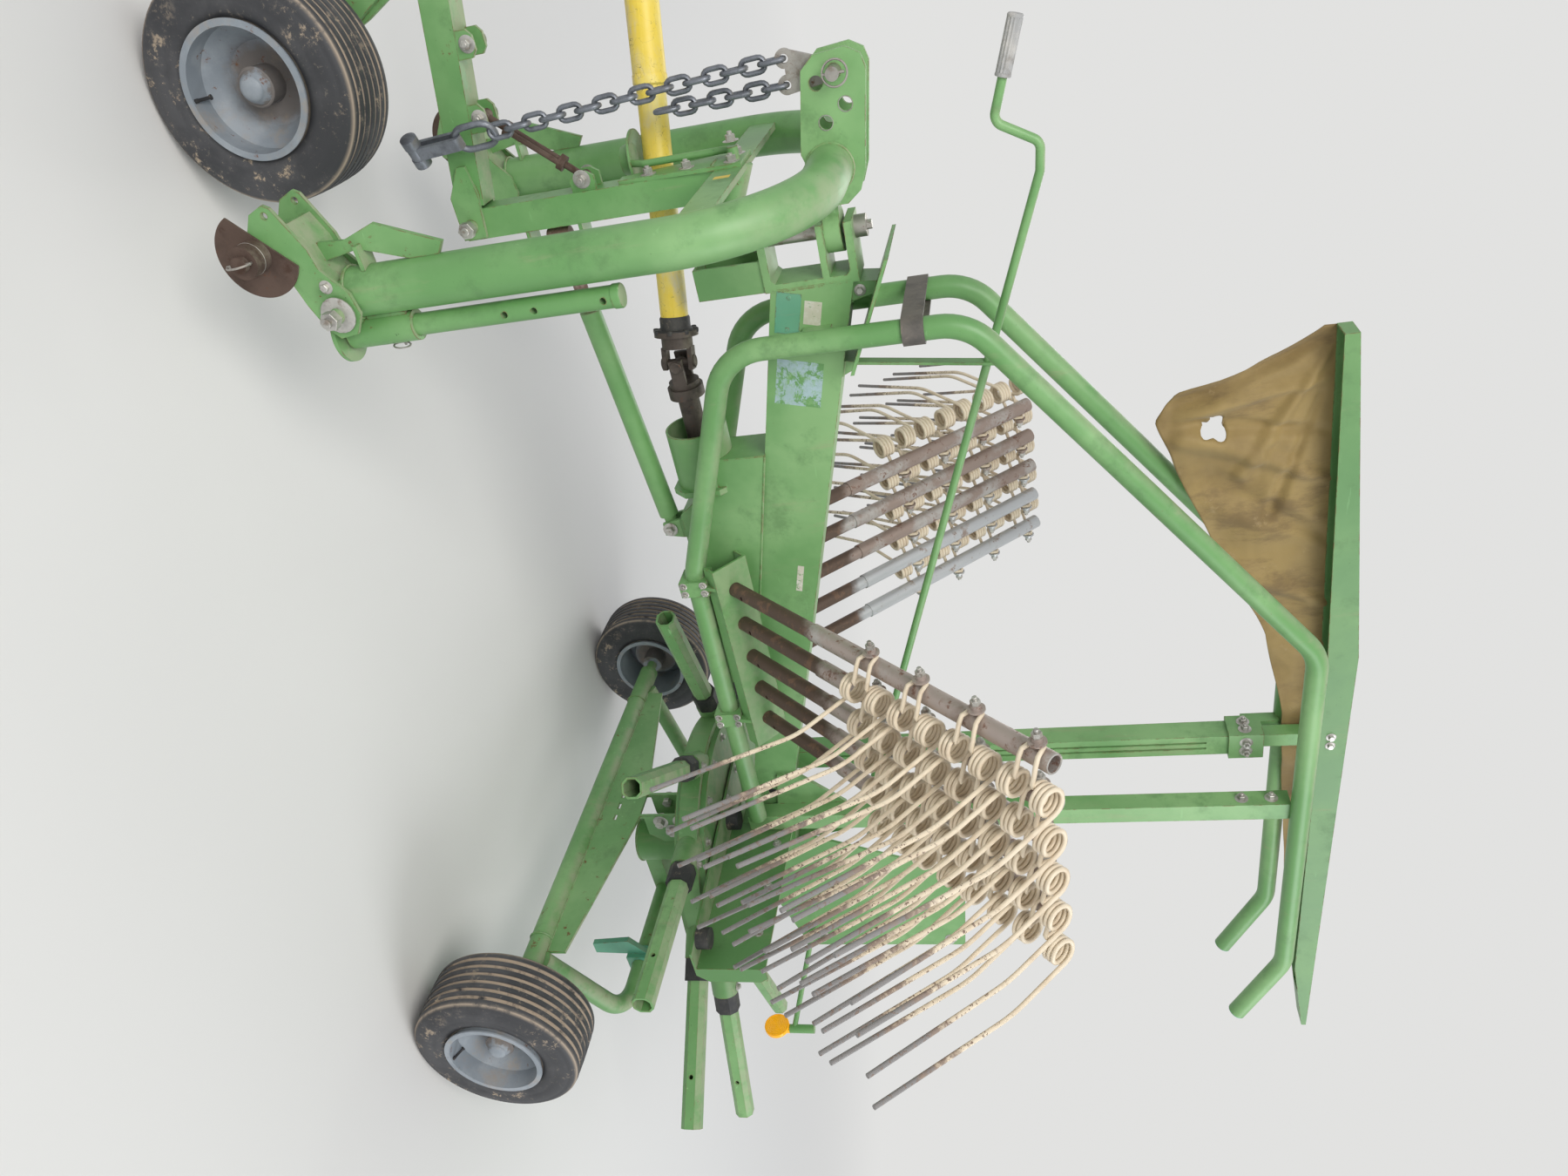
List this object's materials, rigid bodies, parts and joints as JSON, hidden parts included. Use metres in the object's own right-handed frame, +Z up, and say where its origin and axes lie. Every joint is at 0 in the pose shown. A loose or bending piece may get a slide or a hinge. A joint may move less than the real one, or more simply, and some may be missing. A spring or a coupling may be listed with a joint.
{
  "type": "rotary rake",
  "caption": "Single-rotor hay rake on a three-point headstock with castor wheel, guard rails, folded swath curtain and tine arms stowed in side racks.",
  "frame": {"origin": "bottom centre of the overall box, on the ground", "axes": "+X forward to the tractor, +Y to the machine's left, +Z up"},
  "size_m": [3.4377, 2.3172, 2.2669],
  "materials": {
    "green_paint": "worn green paint",
    "rail_paint": "dusty dark green paint",
    "teal_paint": "newer blue-green paint over the old",
    "rim_paint": "dull grey-blue paint",
    "tyre": "worn ribbed rubber with dried mud",
    "tine_paint": "cream paint worn to steel at the tips",
    "arm_steel": "galvanised steel with rust",
    "bare_steel": "dull bare steel with light rust",
    "chain_steel": "dull chain steel",
    "cast": "dark oily cast iron",
    "guard_plastic": "faded yellow plastic",
    "grip_plastic": "grey ribbed plastic",
    "rubber": "black rubber",
    "strap_rubber": "grey-brown rubber",
    "canvas": "ochre coated cloth with stains",
    "reflector": "amber plastic"
  },
  "bodies": {
    "frame": {"arms_left": "arm_steel", "arms_right": "arm_steel", "axle": "green_paint", "bow": "green_paint", "bow_clamp": "teal_paint", "buffers": "rubber", "console": "green_paint", "crank_grip": "grip_plastic", "crank_rod": "green_paint", "curtain": "canvas", "curtain_rail": "rail_paint", "fork": "green_paint", "guard_lugs": "green_paint", "guard_pot": "green_paint", "guard_saddle": "green_paint", "guard_tube_left": "green_paint", "guard_tube_right": "green_paint", "main_beam": "green_paint", "mast": "green_paint", "mast_clamp": "green_paint", "post_left": "green_paint", "pto_joint": "cast", "rack_left": "green_paint", "rack_right": "green_paint", "reflector": "reflector", "reflector_arm": "green_paint", "rotor_column": "green_paint", "rotor_head": "green_paint", "side_plate": "green_paint", "strap": "strap_rubber", "strut": "green_paint", "swivel_pin": "bare_steel", "tines_left": "tine_paint", "tines_right": "tine_paint", "tray": "green_paint"},
    "castor": {"castor": "green_paint"},
    "headstock": {"centre_post": "green_paint", "chain": "chain_steel", "cross_member": "green_paint", "headstock": "green_paint", "hitch_brackets": "green_paint", "link_pin_left": "bare_steel", "link_pin_right": "bare_steel", "link_pin_upper": "bare_steel", "pto_hook": "green_paint", "turnbuckle": "cast", "wheel_arm": "green_paint"},
    "drive_shaft": {"pto_guard": "guard_plastic", "pto_shaft": "cast"},
    "wheel_front": {"rim_front": "rim_paint", "tyre_front": "tyre"},
    "wheel_left": {"rim_left": "rim_paint", "tyre_left": "tyre"},
    "wheel_right": {"rim_right": "rim_paint", "tyre_right": "tyre"},
    "rotor": {"rotor": "green_paint", "rotor_stubs": "green_paint", "stub_collars": "rubber"},
    "stand_left": {"stand_left": "green_paint"},
    "stand_right": {"stand_right": "green_paint"}
  },
  "joints": [
    {"name": "wheel_left_spin", "type": "hinge", "parent": "frame", "child": "wheel_left", "pos_m": [-0.685, 0.744, 0.205], "axis": [0, 1, 0], "continuous": true},
    {"name": "wheel_right_spin", "type": "hinge", "parent": "frame", "child": "wheel_right", "pos_m": [-0.685, -0.744, 0.205], "axis": [0, 1, 0], "continuous": true},
    {"name": "wheel_front_spin", "type": "hinge", "parent": "castor", "child": "wheel_front", "pos_m": [1.36, 0.13, 0.205], "axis": [0, 1, 0], "continuous": true},
    {"name": "castor_swivel", "type": "hinge", "parent": "headstock", "child": "castor", "pos_m": [1.505, 0, 0.545], "axis": [0, 0, 1], "range_deg": [-60, 60]},
    {"name": "headstock_swivel", "type": "hinge", "parent": "frame", "child": "headstock", "pos_m": [0.9, 0, 1.15], "axis": [0, 0, 1], "range_deg": [-10, 10]},
    {"name": "drive_shaft_swing", "type": "hinge", "parent": "frame", "child": "drive_shaft", "pos_m": [0.665, 0, 0.812], "axis": [0, 0, 1], "range_deg": [-3.8, 3.8]},
    {"name": "rotor_spin", "type": "hinge", "parent": "frame", "child": "rotor", "pos_m": [-0.825, 0, 0.595], "axis": [0, 0, 1], "continuous": true},
    {"name": "stand_left_slide", "type": "slide", "parent": "headstock", "child": "stand_left", "axis": [0, 0, -1], "range_m": [0, 0.325]},
    {"name": "stand_right_slide", "type": "slide", "parent": "headstock", "child": "stand_right", "axis": [0, 0, -1], "range_m": [0, 0.325]}
  ],
  "couplings": [
    {"joint": "drive_shaft_swing", "follows": "headstock_swivel", "ratio": 0.37}
  ]
}
